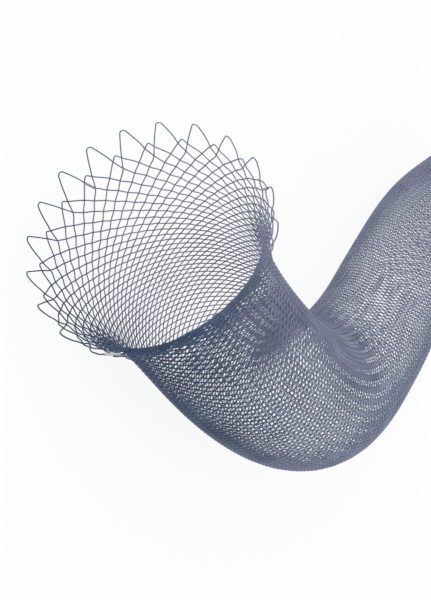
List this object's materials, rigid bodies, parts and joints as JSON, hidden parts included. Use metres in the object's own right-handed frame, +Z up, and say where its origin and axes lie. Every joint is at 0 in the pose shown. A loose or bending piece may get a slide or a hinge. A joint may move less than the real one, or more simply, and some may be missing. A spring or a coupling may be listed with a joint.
{
  "type": "braided flow diverter",
  "caption": "Braided flow diverter: a bent open tube woven from fine wire, with a flared end of long and short wire loops and small marker sleeves",
  "frame": {"origin": "Middle of the bottom of the bounding box, on the surface that the tube lies on", "axes": "+Z up; +X along the straight far stretch of the tube, from the flared end towards the plain end; +Y towards the side that the flared end turns to"},
  "size_m": [0.0392, 0.016, 0.0083],
  "materials": {
    "wire": "dark blue-grey oxide on fine drawn wire, soft shine",
    "sleeve": "plain light grey metal, soft shine"
  },
  "bodies": {
    "root": {"braid_wall": "wire", "marker_sleeve_1": "sleeve", "marker_sleeve_2": "sleeve", "marker_sleeve_3": "sleeve"}
  },
  "joints": []
}
